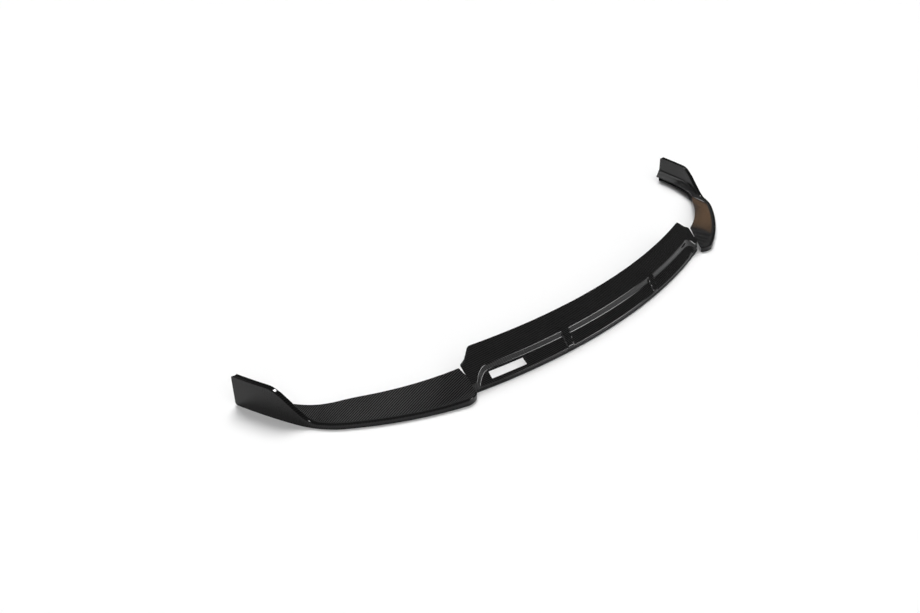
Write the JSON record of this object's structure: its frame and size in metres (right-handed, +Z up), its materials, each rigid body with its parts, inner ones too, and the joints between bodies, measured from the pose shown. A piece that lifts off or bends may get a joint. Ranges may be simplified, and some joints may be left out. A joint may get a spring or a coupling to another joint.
{
  "type": "front splitter lip set",
  "caption": "Gloss carbon-fibre front splitter lip set: a sloping centre chin panel with a stepped pocket and gusset ribs, flanked by mirrored corner lips that sweep up into end fins.",
  "frame": {"origin": "on the ground, under the middle of the set's bounding box", "axes": "+X to the car's left, -Y to the front of the car, +Z up"},
  "size_m": [1.7142, 0.424, 0.0865],
  "materials": {
    "carbon_laminate": "twill-weave carbon-fibre laminate under a high-gloss clear coat"
  },
  "bodies": {
    "root": {"centre_lip": "carbon_laminate", "left_corner_lip": "carbon_laminate", "right_corner_lip": "carbon_laminate"}
  },
  "joints": []
}
